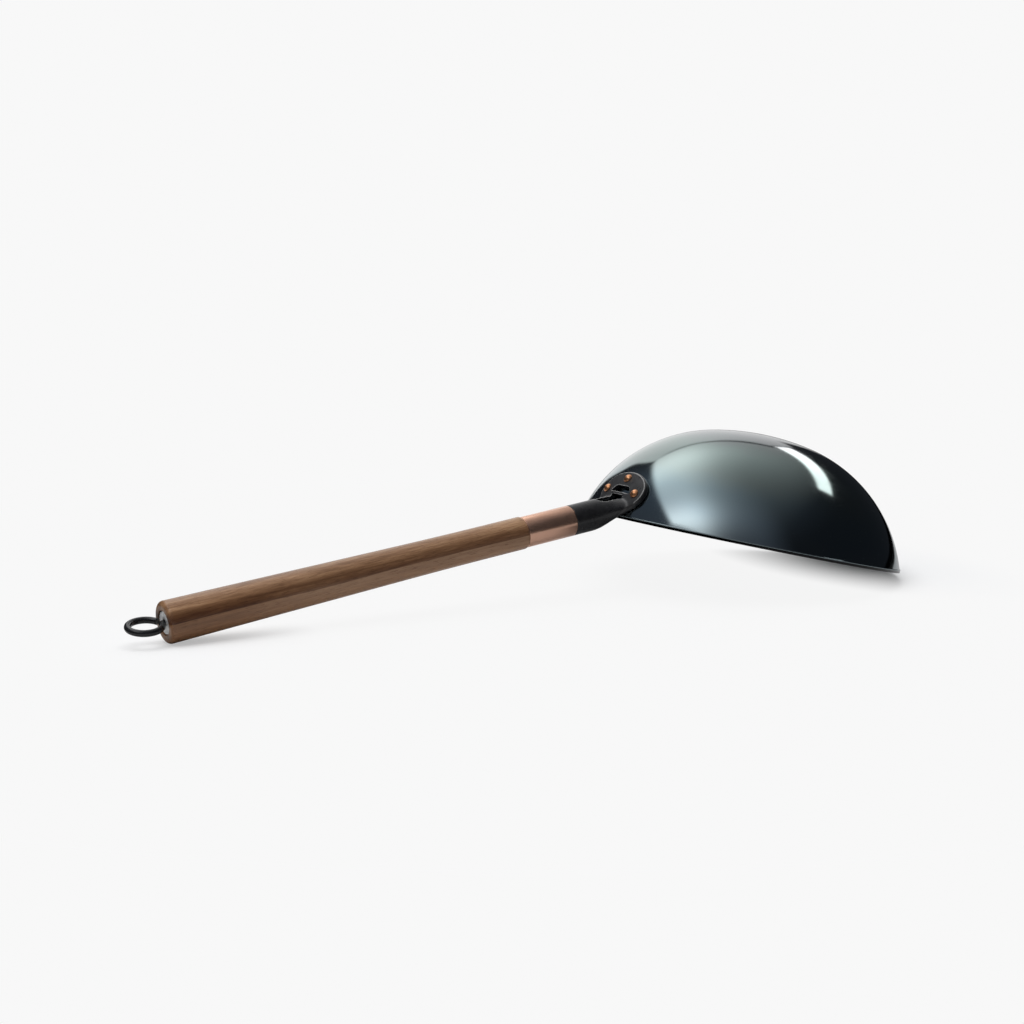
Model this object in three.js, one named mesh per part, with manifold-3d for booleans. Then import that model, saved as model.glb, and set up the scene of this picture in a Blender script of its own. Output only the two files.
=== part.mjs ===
// A round-bottomed wok with a long walnut handle, lying mouth down as it is left to dry:
// on the far point of its rim and on the lower edge of the handle's butt.
// Millimetres, +Z up. The origin is under the middle of the part, on the surface that it lies on.

import * as THREE from 'three';
import { mergeVertices } from 'three/addons/utils/BufferGeometryUtils.js';
import Module from 'manifold-3d';

// Bowl: a shallow bottom arc that runs into a rounder side arc, measured on the outside
const RIM_RADIUS = 152.5;
const BOWL_DEPTH = 102.8;
const BOTTOM_ARC_RADIUS = 228;
const BOTTOM_ARC_END = THREE.MathUtils.degToRad(12);
const BOWL_WALL = 1.8;

// Handle axis: it crosses the rim's radius a little above the rim and leans towards the mouth
const HANDLE_LEAN = THREE.MathUtils.degToRad(20.9);
const HANDLE_RISE = 5.9;

// Bracket: an oval flange on the bowl, a hollow neck and a round socket
const SOCKET_RADIUS = 14;
const SOCKET_REACH = 46.1;
const SPIGOT_LENGTH = 14;
const FLANGE_CENTRE = 24.5;
const FLANGE_HALF_WIDTH = 31.2;
const FLANGE_HALF_HEIGHT = 22.3;
const FLANGE_THICKNESS = 4.8;
const FLANGE_CHAMFER = 1.4;
const FLANGE_DRAFT = 0.5;
const NECK_START = 26;
const NECK_CENTRE = 11.2;
const NECK_HALF_WIDTH = 26;
const NECK_HALF_HEIGHT = 10.6;
const NECK_EGG = 0.6;
const NECK_FLARE = 2;
const NECK_WALL = 3.4;
const ROOT_SINK = 1;
const WINDOW_BOTTOM = 23.4;
const WINDOW_TOP = 30.2;
const WINDOW_BOTTOM_HALF = 13.8;
const WINDOW_TOP_HALF = 10;
const WINDOW_CORNER = 3;
const CROSS_BAR = 3;
const TROUGH_REACH = 16.4;
const TROUGH_HALF_WIDTH = 8.8;

// Rivets: places on the wall, measured up from the rim and sideways from the middle of the flange
const RIVET_SHANK_RADIUS = 2.4;
const RIVET_HEAD_RADIUS = 4.2;
const RIVET_HEAD_HEIGHT = 2.8;
const RIVET_TAIL_RADIUS = 4.6;
const RIVET_TAIL_HEIGHT = 1.4;
const RIVET_TOP_UP = 37.7;
const RIVET_SIDE_UP = 24.2;
const RIVET_SIDE_OUT = 21;

// Ferrule and grip
const FERRULE_LENGTH = 51.4;
const FERRULE_WALL = 1.2;
const GRIP_LENGTH = 347.9;
const GRIP_NECK_RADIUS = 14.75;
const GRIP_NECK_LENGTH = 81;
const GRIP_BUTT_RADIUS = 18.3;
const GRIP_NECK_ROUND = 1.2;
const GRIP_BUTT_ROUND = 3.8;

// Washer and eye bolt
const WASHER_RADIUS = 9.8;
const WASHER_THICKNESS = 1.6;
const WASHER_SINK = 0.9;
const COUNTERBORE_MARGIN = 1;
const ROD_RADIUS = 2.9;
const ROD_THREAD_LENGTH = 17;
const EYE_RADIUS = 14.1;
const EYE_BEND_RADIUS = 5;
const EYE_MOUTH = THREE.MathUtils.degToRad(22);
const EYE_ROLL = THREE.MathUtils.degToRad(10.6);
const EYE_LIFT = THREE.MathUtils.degToRad(3);

// Clearances between pieces that touch or pass through each other
const SEAT_GAP = 0.3;
const HOLE_GAP = 0.3;

// Fineness of the round shapes
const BOWL_SEGMENTS = 80;
const BOWL_SIDE_RINGS = 14;
const BOWL_BOTTOM_RINGS = 3;
const SEAT_SEGMENTS = 180;
const SEAT_SIDE_RINGS = 26;
const FLANGE_SEGMENTS = 60;
const FLANGE_FACE_RINGS = 4;
const NECK_SEGMENTS = 40;
const NECK_RINGS = 8;
const TROUGH_SEGMENTS = 12;
const TURNED_SEGMENTS = 40;
const RIVET_SEGMENTS = 16;
const ROD_SEGMENTS = 12;
const EYE_STEPS = 36;
const ARC_STEPS = 5;

// How far cutting shapes run past what they cut, and how close two points count as one
const CUT_PAST = 40;
const SAME_POINT = 1e-4;

const wasm = await Module();
wasm.setup();

// A closed geometry as a solid: bare positions, shared vertices merged, faces turned outwards.
function solid(geometry) {
  const bare = new THREE.BufferGeometry();
  bare.setAttribute('position', geometry.getAttribute('position').clone());
  if (geometry.index) bare.setIndex(geometry.index.clone());
  const merged = mergeVertices(bare, SAME_POINT);
  const at = merged.getAttribute('position');
  const corner = (i) => new THREE.Vector3().fromBufferAttribute(at, i);
  const triangles = [];
  let volume = 0;
  for (let i = 0; i < merged.index.count; i += 3) {
    const [a, b, c] = [0, 1, 2].map((k) => merged.index.getX(i + k));
    if (a === b || b === c || c === a) continue;
    triangles.push([a, b, c]);
    volume += corner(a).dot(corner(b).cross(corner(c)));
  }
  const outward = triangles.map(([a, b, c]) => (volume > 0 ? [a, b, c] : [a, c, b]));
  return new wasm.Manifold(new wasm.Mesh({
    numProp: 3,
    vertProperties: new Float32Array(at.array),
    triVerts: new Uint32Array(outward.flat()),
  }));
}

// One named piece of the part, from a solid.
function piece(name, body, look) {
  const mesh = body.getMesh();
  const geometry = new THREE.BufferGeometry();
  geometry.setAttribute('position', new THREE.BufferAttribute(mesh.vertProperties, 3));
  geometry.setIndex(new THREE.BufferAttribute(mesh.triVerts, 1));
  geometry.computeVertexNormals();
  const made = new THREE.Mesh(geometry, new THREE.MeshStandardMaterial(look));
  made.name = name;
  return made;
}

// A shape turned about the Z axis, from [radius, height] points.
function turned(points, segments) {
  const profile = points.map(([radius, height]) => new THREE.Vector2(radius, height));
  return new THREE.LatheGeometry(profile, segments).rotateX(Math.PI / 2);
}

// A closed skin over rings of equally many points, with a flat fan on each end.
function lofted(rings) {
  const count = rings[0].length;
  const points = rings.flat();
  const index = [];
  for (let k = 0; k + 1 < rings.length; k += 1) {
    for (let i = 0; i < count; i += 1) {
      const a = k * count + i;
      const b = k * count + ((i + 1) % count);
      index.push(a, b, a + count, b, b + count, a + count);
    }
  }
  const last = (rings.length - 1) * count;
  for (let i = 1; i + 1 < count; i += 1) {
    index.push(0, i + 1, i);
    index.push(last, last + i, last + i + 1);
  }
  const geometry = new THREE.BufferGeometry().setFromPoints(points);
  return geometry.setIndex(index);
}

// Points of an arc about [x, y] from one angle to another, both ends included.
function arcPoints(x, y, radius, from, to, steps) {
  return Array.from({ length: steps + 1 }, (_, i) => {
    const angle = from + ((to - from) * i) / steps;
    return [x + radius * Math.cos(angle), y + radius * Math.sin(angle)];
  });
}

// Bowl profile

// Radius and rim slope of the side arc follow from the rim, the depth and the bottom arc.
const sideRun = RIM_RADIUS - BOTTOM_ARC_RADIUS * Math.sin(BOTTOM_ARC_END);
const sideDrop = BOWL_DEPTH - BOTTOM_ARC_RADIUS * (1 - Math.cos(BOTTOM_ARC_END));
const rimSlope = 2 * Math.atan2(sideDrop, sideRun) - BOTTOM_ARC_END;
const sideRadius = sideRun / (Math.sin(rimSlope) - Math.sin(BOTTOM_ARC_END));
const sideCentre = [RIM_RADIUS - sideRadius * Math.sin(rimSlope), -sideRadius * Math.cos(rimSlope)];

// [radius, height] points from the top of the dome to the slope given, a distance out from the outside.
function bowlProfile(out, endSlope, sideRings) {
  const bottomCentre = [0, BOWL_DEPTH - BOTTOM_ARC_RADIUS];
  const quarter = Math.PI / 2;
  const bottom = arcPoints(
    ...bottomCentre, BOTTOM_ARC_RADIUS + out, quarter, quarter - BOTTOM_ARC_END, BOWL_BOTTOM_RINGS,
  );
  const side = arcPoints(
    ...sideCentre, sideRadius + out, quarter - BOTTOM_ARC_END, quarter - endSlope, sideRings,
  );
  bottom[0][0] = 0;
  return [...bottom, ...side.slice(1)];
}

// The filled bowl with a seat's gap around it, its wall run on straight below the rim.
function bowlBlock() {
  const profile = bowlProfile(SEAT_GAP, rimSlope, SEAT_SIDE_RINGS);
  const [radius, height] = profile.at(-1);
  const foot = [radius + CUT_PAST / Math.tan(rimSlope), height - CUT_PAST];
  return solid(turned([...profile, foot, [0, foot[1]]], SEAT_SEGMENTS));
}

// A frame on the bowl's wall: origin on the outside, +Z out of the wall, +Y up the wall, +X across.
function wallFrame(up, across) {
  const slope = rimSlope - up / sideRadius;
  const radius = sideCentre[0] + sideRadius * Math.sin(slope);
  const height = sideCentre[1] + sideRadius * Math.cos(slope);
  const around = Math.PI + across / radius;
  const away = new THREE.Vector3(Math.cos(around), Math.sin(around), 0);
  const normal = away.clone().multiplyScalar(Math.sin(slope)).setZ(Math.cos(slope));
  const upward = away.clone().multiplyScalar(-Math.cos(slope)).setZ(Math.sin(slope));
  const sideways = new THREE.Vector3().crossVectors(upward, normal);
  const frame = new THREE.Matrix4().makeBasis(sideways, upward, normal);
  return frame.setPosition(away.x * radius, away.y * radius, height);
}

// A point a distance out from the wall.
function wallPoint(up, across, out) {
  return new THREE.Vector3(0, 0, out).applyMatrix4(wallFrame(up, across));
}

// The handle's frame: +Z along its axis to the butt, +X upwards, origin where the axis crosses the rim.
const handleFrame = new THREE.Matrix4()
  .makeRotationY(-Math.PI / 2 - HANDLE_LEAN)
  .setPosition(-RIM_RADIUS, 0, HANDLE_RISE);

// Places along the handle's axis
const socketEnd = SOCKET_REACH;
const ferruleEnd = socketEnd + FERRULE_LENGTH;
const buttEnd = ferruleEnd + GRIP_LENGTH;
const spigotEnd = socketEnd + SPIGOT_LENGTH;
const cavityEnd = NECK_START + NECK_WALL;
const washerFace = buttEnd - WASHER_SINK;
const ferruleBore = SOCKET_RADIUS - FERRULE_WALL;
const rodHole = ROD_RADIUS + HOLE_GAP;

// Rivets: a round head outside, a shank through flange and wall, and a low closing head inside

const rivetPlaces = {
  rivet_top: [RIVET_TOP_UP, 0],
  rivet_left: [RIVET_SIDE_UP, -RIVET_SIDE_OUT],
  rivet_right: [RIVET_SIDE_UP, RIVET_SIDE_OUT],
};
const headSeat = FLANGE_THICKNESS + 2 * SEAT_GAP;
// The inside of the wall is hollow, so the flat tail stands off it by the hollow's depth at its edge.
const tailHollow = RIVET_TAIL_RADIUS ** 2 / (2 * (sideRadius - BOWL_WALL));
const tailSeat = -BOWL_WALL - SEAT_GAP - tailHollow;

// Points of a low dome from its edge to its crown; a negative height makes it face the other way.
function domePoints(radius, seat, height) {
  const quarter = Math.PI / 2;
  const points = arcPoints(0, 0, 1, 0, quarter, ARC_STEPS);
  points.at(-1)[0] = 0;
  return points.map(([x, y]) => [x * radius, seat + y * height]);
}

function rivetSolid([up, across]) {
  const tail = domePoints(RIVET_TAIL_RADIUS, tailSeat, -RIVET_TAIL_HEIGHT).reverse();
  const shank = [[RIVET_SHANK_RADIUS, tailSeat], [RIVET_SHANK_RADIUS, headSeat]];
  const head = domePoints(RIVET_HEAD_RADIUS, headSeat, RIVET_HEAD_HEIGHT);
  const shape = turned([...tail, ...shank, ...head], RIVET_SEGMENTS);
  return solid(shape.applyMatrix4(wallFrame(up, across)));
}

function rivetHole([up, across]) {
  const radius = RIVET_SHANK_RADIUS + HOLE_GAP;
  const drill = new THREE.CylinderGeometry(radius, radius, CUT_PAST, RIVET_SEGMENTS);
  return solid(drill.rotateX(Math.PI / 2).applyMatrix4(wallFrame(up, across)));
}

// Pan: the bowl's shell, its rim cut flat, drilled for the rivets

function panSolid() {
  const innerRadius = sideRadius - BOWL_WALL;
  const innerRimSlope = Math.acos(-sideCentre[1] / innerRadius);
  const outside = bowlProfile(0, rimSlope, BOWL_SIDE_RINGS);
  const inside = bowlProfile(-BOWL_WALL, innerRimSlope, BOWL_SIDE_RINGS).reverse();
  const shell = solid(turned([...outside, ...inside], BOWL_SEGMENTS));
  return Object.values(rivetPlaces).reduce((body, place) => body.subtract(rivetHole(place)), shell);
}

// Bracket

// A tube of the socket's size that swells over the neck to an oval on the bowl's wall.
// It starts at a place along the handle, and inset makes it smaller all round.
function neckSkin(from, inset) {
  const toHandle = handleFrame.clone().invert();
  const rings = Array.from({ length: NECK_RINGS + 2 }, () => []);
  for (let i = 0; i < NECK_SEGMENTS; i += 1) {
    const angle = (2 * Math.PI * i) / NECK_SEGMENTS;
    const start = new THREE.Vector3(Math.cos(angle), -Math.sin(angle), 0)
      .multiplyScalar(SOCKET_RADIUS - inset)
      .setZ(NECK_START);
    const footUp = NECK_CENTRE + (NECK_HALF_HEIGHT - inset) * Math.cos(angle);
    const footAcross = (NECK_HALF_WIDTH - inset) * Math.sin(angle) * (1 + NECK_EGG * Math.cos(angle));
    const foot = wallPoint(footUp, footAcross, -ROOT_SINK).applyMatrix4(toHandle);
    rings[0].push(start.clone().setZ(from).applyMatrix4(handleFrame));
    rings.slice(1).forEach((ring, k) => {
      const along = k / NECK_RINGS;
      const point = start.clone().lerp(foot, along ** NECK_FLARE);
      point.z = THREE.MathUtils.lerp(start.z, foot.z, along);
      ring.push(point.applyMatrix4(handleFrame));
    });
  }
  return solid(lofted(rings));
}

// A round bar along the handle's axis.
function axisBar(radius, from, to, segments) {
  const bar = turned([[0, from], [radius, from], [radius, to], [0, to]], segments);
  return solid(bar.applyMatrix4(handleFrame));
}

// The flange's oval lies along the wall: drafted sides, a chamfer and a face that curves with the bowl.
function flangeSkin() {
  const face = SEAT_GAP + FLANGE_THICKNESS;
  const levels = [[-ROOT_SINK, 0, 1], [face - FLANGE_CHAMFER, FLANGE_DRAFT, 1]];
  for (let k = 0; k < FLANGE_FACE_RINGS; k += 1) {
    levels.push([face, FLANGE_DRAFT + FLANGE_CHAMFER, 1 - k / FLANGE_FACE_RINGS]);
  }
  const rings = levels.map(([out, inset, share]) => Array.from({ length: FLANGE_SEGMENTS }, (_, i) => {
    const angle = (2 * Math.PI * i) / FLANGE_SEGMENTS;
    const up = FLANGE_CENTRE + share * (FLANGE_HALF_HEIGHT - inset) * Math.cos(angle);
    return wallPoint(up, share * (FLANGE_HALF_WIDTH - inset) * Math.sin(angle), out);
  }));
  return solid(lofted(rings));
}

// Window between the rivets: narrower at the top, with round corners.
function windowPlug() {
  const outline = new THREE.Shape();
  const bottom = WINDOW_BOTTOM - FLANGE_CENTRE;
  const top = WINDOW_TOP - FLANGE_CENTRE;
  outline.moveTo(-WINDOW_BOTTOM_HALF, bottom);
  outline.lineTo(WINDOW_BOTTOM_HALF, bottom);
  outline.quadraticCurveTo(WINDOW_TOP_HALF + WINDOW_CORNER / 2, top, WINDOW_TOP_HALF - WINDOW_CORNER, top);
  outline.lineTo(-WINDOW_TOP_HALF + WINDOW_CORNER, top);
  outline.quadraticCurveTo(-WINDOW_TOP_HALF - WINDOW_CORNER / 2, top, -WINDOW_BOTTOM_HALF, bottom);
  const plug = new THREE.ExtrudeGeometry(outline, {
    depth: CUT_PAST,
    bevelEnabled: false,
    curveSegments: ARC_STEPS,
  });
  plug.translate(0, 0, -CUT_PAST / 2);
  return solid(plug.applyMatrix4(wallFrame(FLANGE_CENTRE, 0)));
}

// Under the cross bar the flange is cut away, as wide as the trough.
function throatPlug() {
  const bottom = NECK_CENTRE - FLANGE_CENTRE;
  const top = WINDOW_BOTTOM - CROSS_BAR - FLANGE_CENTRE;
  const plug = new THREE.BoxGeometry(2 * TROUGH_HALF_WIDTH, top - bottom, CUT_PAST);
  plug.translate(0, (top + bottom) / 2, 0);
  return solid(plug.applyMatrix4(wallFrame(FLANGE_CENTRE, 0)));
}

// The neck's roof is open from the cross bar out to a round end over the socket.
function troughPlug() {
  const barFoot = new THREE.Vector3(0, WINDOW_BOTTOM - CROSS_BAR - FLANGE_CENTRE, FLANGE_THICKNESS)
    .applyMatrix4(wallFrame(FLANGE_CENTRE, 0))
    .applyMatrix4(handleFrame.clone().invert());
  const outline = new THREE.Shape();
  outline.moveTo(-TROUGH_HALF_WIDTH, barFoot.z);
  outline.lineTo(TROUGH_HALF_WIDTH, barFoot.z);
  outline.absarc(0, TROUGH_REACH - TROUGH_HALF_WIDTH, TROUGH_HALF_WIDTH, 0, Math.PI, false);
  const plug = new THREE.ExtrudeGeometry(outline, {
    depth: CUT_PAST,
    bevelEnabled: false,
    curveSegments: TROUGH_SEGMENTS,
  });
  const acrossAxisUp = new THREE.Matrix4().makeBasis(
    new THREE.Vector3(0, 1, 0), new THREE.Vector3(0, 0, 1), new THREE.Vector3(1, 0, 0),
  );
  return solid(plug.applyMatrix4(acrossAxisUp).applyMatrix4(handleFrame));
}

function bracketSolid() {
  // The spigot on the socket's end centres the ferrule.
  const spigot = axisBar(ferruleBore - HOLE_GAP, cavityEnd, spigotEnd, NECK_SEGMENTS);
  const outside = flangeSkin().add(neckSkin(socketEnd, 0)).add(spigot);
  const cuts = [
    bowlBlock(),
    neckSkin(cavityEnd, NECK_WALL),
    troughPlug(),
    throatPlug(),
    windowPlug(),
    axisBar(rodHole, NECK_START, spigotEnd + CUT_PAST, ROD_SEGMENTS),
    ...Object.values(rivetPlaces).map(rivetHole),
  ];
  return cuts.reduce((body, cut) => body.subtract(cut), outside);
}

// Ferrule: a copper sleeve held between the socket's shoulder and the grip's

function ferruleSolid() {
  const from = socketEnd + SEAT_GAP;
  const to = ferruleEnd - SEAT_GAP;
  const sleeve = turned([
    [ferruleBore, from],
    [SOCKET_RADIUS, from],
    [SOCKET_RADIUS, to],
    [ferruleBore, to],
    [ferruleBore, from],
  ], TURNED_SEGMENTS);
  return solid(sleeve);
}

// Grip: turned walnut with a tenon in the ferrule, a bore for the rod and a counterbore for the washer

function gripSolid() {
  const tenonRadius = ferruleBore - HOLE_GAP;
  const tenonFrom = spigotEnd + SEAT_GAP;
  const coneFrom = ferruleEnd + GRIP_NECK_LENGTH;
  const coneSlope = (GRIP_BUTT_RADIUS - GRIP_NECK_RADIUS) / (buttEnd - coneFrom);
  const easing = GRIP_NECK_LENGTH / 2;
  const ease = new THREE.QuadraticBezierCurve(
    new THREE.Vector2(GRIP_NECK_RADIUS, coneFrom - easing),
    new THREE.Vector2(GRIP_NECK_RADIUS, coneFrom),
    new THREE.Vector2(GRIP_NECK_RADIUS + coneSlope * easing, coneFrom + easing),
  );
  const half = Math.PI / 2;
  const counterRadius = WASHER_RADIUS + COUNTERBORE_MARGIN;
  const counterFloor = washerFace - WASHER_THICKNESS - SEAT_GAP;
  const buttRound = arcPoints(
    GRIP_BUTT_RADIUS - GRIP_BUTT_ROUND, buttEnd - GRIP_BUTT_ROUND, GRIP_BUTT_ROUND, 0, half, ARC_STEPS,
  );
  const neckRound = arcPoints(
    GRIP_NECK_RADIUS - GRIP_NECK_ROUND, ferruleEnd + GRIP_NECK_ROUND, GRIP_NECK_ROUND, -half, 0, ARC_STEPS,
  );
  const grip = turned([
    [rodHole, tenonFrom],
    [tenonRadius, tenonFrom],
    [tenonRadius, ferruleEnd],
    ...neckRound,
    ...ease.getPoints(ARC_STEPS).map((point) => [point.x, point.y]),
    ...buttRound,
    [counterRadius, buttEnd],
    [counterRadius, counterFloor],
    [rodHole, counterFloor],
    [rodHole, tenonFrom],
  ], TURNED_SEGMENTS);
  return solid(grip);
}

// Washer: spreads the eye bolt's pull over the counterbore's floor

function washerSolid() {
  const ring = turned([
    [rodHole, washerFace - WASHER_THICKNESS],
    [WASHER_RADIUS, washerFace - WASHER_THICKNESS],
    [WASHER_RADIUS, washerFace],
    [rodHole, washerFace],
    [rodHole, washerFace - WASHER_THICKNESS],
  ], TURNED_SEGMENTS);
  return solid(ring);
}

// Eye bolt: one rod, straight through the handle, bent at the washer and round into a nearly closed eye

// A path through given points, with one step of the sweep at each of them.
class RodPath extends THREE.Curve {
  constructor(points) {
    super();
    this.points = points;
  }

  getPoint(t) {
    const place = t * (this.points.length - 1);
    const i = Math.min(Math.floor(place), this.points.length - 2);
    return this.points[i].clone().lerp(this.points[i + 1], place - i);
  }

  getUtoTmapping(u) {
    return u;
  }
}

function eyeBoltSolid() {
  const half = Math.PI / 2;
  const eyeCentre = washerFace + SEAT_GAP + ROD_RADIUS + EYE_RADIUS;
  const bendHeight = eyeCentre - Math.sqrt(EYE_RADIUS ** 2 + 2 * EYE_RADIUS * EYE_BEND_RADIUS);
  const bendTurn = Math.atan2(eyeCentre - bendHeight, EYE_BEND_RADIUS);
  const rodTip = socketEnd - ROD_THREAD_LENGTH;
  const bend = arcPoints(-EYE_BEND_RADIUS, bendHeight, EYE_BEND_RADIUS, 0, bendTurn, ARC_STEPS);
  const loopEnd = EYE_MOUTH - half - 2 * Math.PI;
  const loop = arcPoints(0, eyeCentre, EYE_RADIUS, bendTurn - Math.PI, loopEnd, EYE_STEPS);
  const path = [[0, rodTip], [0, bendHeight - ROD_RADIUS], ...bend, ...loop.slice(1)];
  const aside = new THREE.Vector3(Math.sin(EYE_ROLL), Math.cos(EYE_ROLL), 0);
  const upward = new THREE.Vector3(Math.cos(EYE_ROLL), -Math.sin(EYE_ROLL), 0);
  const points = path.map(([side, along]) => {
    const lift = Math.tan(EYE_LIFT) * Math.max(0, along - bendHeight);
    return aside.clone().multiplyScalar(side).addScaledVector(upward, lift).setZ(along);
  });
  const section = new THREE.Shape().absarc(0, 0, ROD_RADIUS, 0, 2 * Math.PI, false);
  const rod = new THREE.ExtrudeGeometry(section, {
    extrudePath: new RodPath(points),
    steps: points.length - 1,
    curveSegments: ROD_SEGMENTS / 2,
    bevelEnabled: false,
  });
  return solid(rod);
}

// Looks of the materials
const bluedSteel = { color: 0x1d242b, roughness: 0.18, metalness: 0.9 };
const blackIron = { color: 0x1a1a1b, roughness: 0.55, metalness: 0.5 };
const copper = { color: 0xc08a6c, roughness: 0.35, metalness: 1 };
const walnut = { color: 0x74543e, roughness: 0.5, metalness: 0 };
const zincSteel = { color: 0xc4c4c2, roughness: 0.3, metalness: 1 };
const blackRod = { color: 0x121213, roughness: 0.4, metalness: 0.6 };

// Handle: pieces in the handle's own frame
const handle = new THREE.Group();
handle.applyMatrix4(handleFrame);
handle.add(
  piece('ferrule', ferruleSolid(), copper),
  piece('handle_grip', gripSolid(), walnut),
  piece('butt_washer', washerSolid(), zincSteel),
  piece('eye_bolt', eyeBoltSolid(), blackRod),
);

// Wok: rim in its own XY plane, dome up, handle towards -X
const wok = new THREE.Group();
wok.add(piece('pan', panSolid(), bluedSteel), piece('handle_bracket', bracketSolid(), blackIron), handle);
Object.entries(rivetPlaces).forEach(([name, place]) => wok.add(piece(name, rivetSolid(place), copper)));

// Lying pose: the wok tips about the far point of its rim until the butt's round edge touches the surface.
const buttEdge = new THREE.Vector3(GRIP_BUTT_ROUND - GRIP_BUTT_RADIUS, 0, buttEnd - GRIP_BUTT_ROUND)
  .applyMatrix4(handleFrame);
const edgeRun = RIM_RADIUS - buttEdge.x;
const edgeReach = Math.hypot(edgeRun, buttEdge.z);
wok.rotation.y = Math.asin(GRIP_BUTT_ROUND / edgeReach) - Math.atan2(buttEdge.z, edgeRun);

// The origin goes under the middle of the part's box.
const lying = new THREE.Group();
lying.add(wok);
lying.updateMatrixWorld(true);
const box = new THREE.Box3().setFromObject(lying, true);
const middle = box.getCenter(new THREE.Vector3());
wok.position.set(-middle.x, -middle.y, -box.min.z);

export default lying;
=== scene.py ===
from math import acos, asin, atan2, cos, pi, radians, sin, sqrt, tau

import bpy
from mathutils import Matrix, Vector


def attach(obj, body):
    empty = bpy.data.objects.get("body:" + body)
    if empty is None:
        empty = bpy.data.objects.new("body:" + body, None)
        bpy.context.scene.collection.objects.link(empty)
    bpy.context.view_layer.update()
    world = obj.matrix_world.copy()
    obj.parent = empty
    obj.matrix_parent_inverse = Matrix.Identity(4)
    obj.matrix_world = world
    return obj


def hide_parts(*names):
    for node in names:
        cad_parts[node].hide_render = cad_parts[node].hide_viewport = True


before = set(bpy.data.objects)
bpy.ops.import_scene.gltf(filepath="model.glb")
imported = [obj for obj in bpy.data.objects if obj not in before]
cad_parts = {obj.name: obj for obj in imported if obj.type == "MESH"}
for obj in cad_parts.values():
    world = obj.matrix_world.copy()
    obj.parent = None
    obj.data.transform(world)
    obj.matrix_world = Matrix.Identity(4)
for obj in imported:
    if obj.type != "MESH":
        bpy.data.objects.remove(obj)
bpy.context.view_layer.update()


# Bowl
# One sheet of carbon steel, spun to a round bottom, polished, blued in the heat and wiped with oil.
# The polish ends in a fine bead just above the cut edge. Below the bead the outside is painted near black,
# a painted reflection of the shadowed floor under the bowl. It lies mouth down, tipped onto its far rim.
rim_middle = (0.2367376, 0, 0.0352186)
bowl_tilt = radians(13.3525)
wok_place = Matrix.Translation(rim_middle) @ Matrix.Rotation(bowl_tilt, 4, "Y")
rim_radius = 0.1525
bowl_depth = 0.1028
bottom_arc = 0.228
bottom_turn = radians(12)
bowl_wall = 0.0018
bead_radius = 0.00055
bead_height = 0.0028
bead_inset = 0.0001
bead_turn = radians(150)
bead_end = radians(140)
edge_round = 0.0003
bottom_steps = 10
side_steps = 48
bead_steps = 10
edge_steps = 4
bowl_steps = 192
weld = 1e-6
hair = 1e-5
crease_angle = radians(35)
side_run = rim_radius - bottom_arc * sin(bottom_turn)
side_drop = bowl_depth - bottom_arc * (1 - cos(bottom_turn))
rim_slope = 2 * atan2(side_drop, side_run) - bottom_turn
side_arc = side_run / (sin(rim_slope) - sin(bottom_turn))
side_centre = (rim_radius - side_arc * sin(rim_slope), -side_arc * cos(rim_slope))
bottom_centre = (0, bowl_depth - bottom_arc)
inner_slope = acos(-side_centre[1] / (side_arc - bowl_wall))
bead_centre = (rim_radius - bead_inset - bead_radius, bead_height)
bead_start = bead_end - bead_turn
bead_top = (bead_centre[0] + bead_radius * sin(bead_start), bead_height + bead_radius * cos(bead_start))
wall_end = acos((bead_top[1] - side_centre[1]) / side_arc)
edge_radius = bead_centre[0] + bead_radius * sin(bead_end)
inner_rim = side_centre[0] + (side_arc - bowl_wall) * sin(inner_slope)


def turn(name, start, strokes, steps):
    """Draw a half profile in the XZ plane, stroke by stroke, and turn it about Z.
    A stroke is a point to draw a straight line to, or (centre, angle, count) for an arc."""
    bpy.ops.object.select_all(action="DESELECT")
    bpy.ops.mesh.primitive_plane_add(size=0.001)
    piece = bpy.context.object
    piece.name = piece.data.name = name
    bpy.ops.object.mode_set(mode="EDIT")
    bpy.ops.mesh.select_all(action="SELECT")
    bpy.ops.mesh.merge(type="CENTER")
    bpy.ops.transform.translate(value=(start[0], 0, start[1]))
    pen = Vector((start[0], 0, start[1]))
    for stroke in strokes:
        if len(stroke) == 2:
            tip = Vector((stroke[0], 0, stroke[1]))
            bpy.ops.mesh.extrude_region_move(TRANSFORM_OT_translate={"value": tip - pen})
        else:
            (across, up), angle, count = stroke
            centre = Vector((across, 0, up))
            bpy.ops.mesh.spin(steps=count, angle=angle, center=centre, axis=(0, -1, 0))
            tip = centre + Matrix.Rotation(angle, 3, "Y") @ (pen - centre)
        pen = tip
    bpy.ops.mesh.select_all(action="SELECT")
    bpy.ops.mesh.spin(steps=steps, angle=tau, center=(0, 0, 0), axis=(0, 0, 1))
    bpy.ops.mesh.select_all(action="SELECT")
    bpy.ops.mesh.remove_doubles(threshold=weld)
    bpy.ops.mesh.normals_make_consistent(inside=False)
    bpy.ops.object.mode_set(mode="OBJECT")
    return piece


def round_edges(piece, width, segments, test):
    """Bevel the edges whose two ends both pass the test."""
    mesh = piece.data
    for polygon in mesh.polygons:
        polygon.select = False
    for vertex in mesh.vertices:
        vertex.select = False
    for edge in mesh.edges:
        edge.select = all(test(mesh.vertices[i].co) for i in edge.vertices)
    bpy.context.view_layer.objects.active = piece
    bpy.ops.object.mode_set(mode="EDIT")
    bpy.context.tool_settings.mesh_select_mode = (False, True, False)
    bpy.ops.mesh.bevel(offset=width, segments=segments, profile=0.5, affect="EDGES")
    bpy.context.tool_settings.mesh_select_mode = (True, False, False)
    bpy.ops.object.mode_set(mode="OBJECT")


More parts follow.
